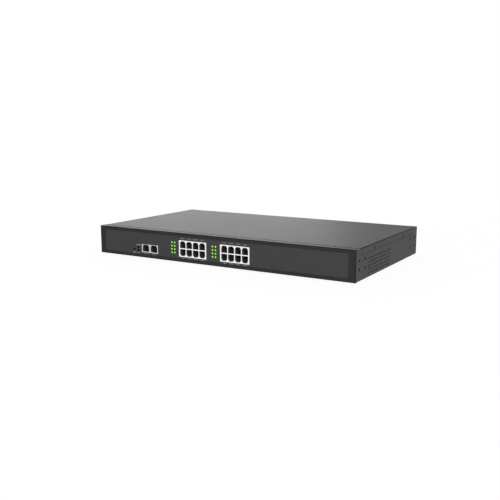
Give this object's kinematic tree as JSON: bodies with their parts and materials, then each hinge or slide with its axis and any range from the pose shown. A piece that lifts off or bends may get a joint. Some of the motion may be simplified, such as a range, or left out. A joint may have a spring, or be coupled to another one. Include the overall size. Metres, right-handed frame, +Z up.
{
  "type": "network switch",
  "caption": "Rack-width network switch in a folded steel case, with front network and line sockets, green lamps, reset button, and rear mains inlet and rocker switch.",
  "frame": {"origin": "middle of the bounding box, on the plane the feet stand on", "axes": "+X to the right seen from the front, +Y to the rear, +Z up"},
  "size_m": [0.44, 0.2552, 0.0465],
  "materials": {
    "case_paint": "fine matt powder coat",
    "bezel_plastic": "fine texture",
    "overlay_film": "satin film",
    "black_screw": "black oxide",
    "zinc_steel": "zinc plated",
    "foot_rubber": "matt",
    "board_green": "solder mask",
    "board_brown": "phenolic",
    "brass": "turned",
    "black_plastic": "moulded",
    "plated_shield": "bright plated sheet",
    "gold_contact": "gold plated",
    "lamp_green": "tinted diffused resin",
    "lamp_dark": "tinted resin, unlit",
    "button_brown": "moulded",
    "aluminium": "extruded",
    "ferrite": "sintered ferrite with winding",
    "capacitor_sleeve": "printed sleeve",
    "ivory_plastic": "moulded",
    "winding_tape": "polyester tape",
    "choke_copper": "enamelled copper winding",
    "wire_brown": "soft insulation",
    "wire_red": "soft insulation"
  },
  "bodies": {
    "case": {"chassis_tray": "case_paint", "top_cover": "case_paint", "cover_screws": "black_screw", "cover_nuts": "zinc_steel", "rack_nuts": "zinc_steel", "rubber_feet": "foot_rubber", "front_bezel": "bezel_plastic", "front_overlay": "overlay_film", "bezel_screws": "zinc_steel", "main_board": "board_green", "board_standoffs": "brass", "board_screws": "zinc_steel", "lan_jack_housing": "black_plastic", "lan_jack_shield": "plated_shield", "lan_jack_contacts": "gold_contact", "line_jack_1_housing": "black_plastic", "line_jack_1_shield": "plated_shield", "line_jack_1_contacts": "gold_contact", "line_jack_2_housing": "black_plastic", "line_jack_2_shield": "plated_shield", "line_jack_2_contacts": "gold_contact", "lamp_holder_1": "black_plastic", "line_lamps_1": "lamp_green", "lamp_holder_2": "black_plastic", "line_lamps_2": "lamp_green", "status_lamp_holder": "black_plastic", "status_lamps": "lamp_dark", "reset_switch": "black_plastic", "processor": "black_plastic", "processor_heat_sink": "aluminium", "memory_chips": "black_plastic", "line_driver_chips": "black_plastic", "ringing_coils": "ferrite", "lan_magnetics": "black_plastic", "board_capacitors": "capacitor_sleeve", "board_dc_connector": "ivory_plastic", "psu_board": "board_brown", "psu_standoffs": "brass", "psu_screws": "zinc_steel", "psu_insulator": "ivory_plastic", "psu_transformer_core": "ferrite", "psu_transformer_winding": "winding_tape", "psu_main_capacitor": "capacitor_sleeve", "psu_output_capacitors": "capacitor_sleeve", "psu_heat_sinks": "aluminium", "psu_choke": "choke_copper", "psu_fuse": "ivory_plastic", "psu_ac_connector": "ivory_plastic", "psu_dc_connector": "ivory_plastic", "mains_inlet": "black_plastic", "inlet_pins": "zinc_steel", "inlet_screws": "zinc_steel", "inlet_nuts": "zinc_steel", "switch_housing": "black_plastic", "switch_terminals": "zinc_steel", "earth_screw": "zinc_steel", "mains_wires": "wire_brown", "dc_wires": "wire_red"},
    "button": {"reset_button": "button_brown"},
    "rocker": {"switch_rocker": "black_plastic"}
  },
  "joints": [
    {"name": "reset_press", "type": "slide", "parent": "case", "child": "button", "axis": [0, 1, 0], "range_m": [0, 0.0003], "stiffness_N_per_m": 4000},
    {"name": "power_rock", "type": "hinge", "parent": "case", "child": "rocker", "pos_m": [0.116, 0.12316, 0.0245], "axis": [-1, 0, 0], "range_deg": [0, 22]}
  ]
}
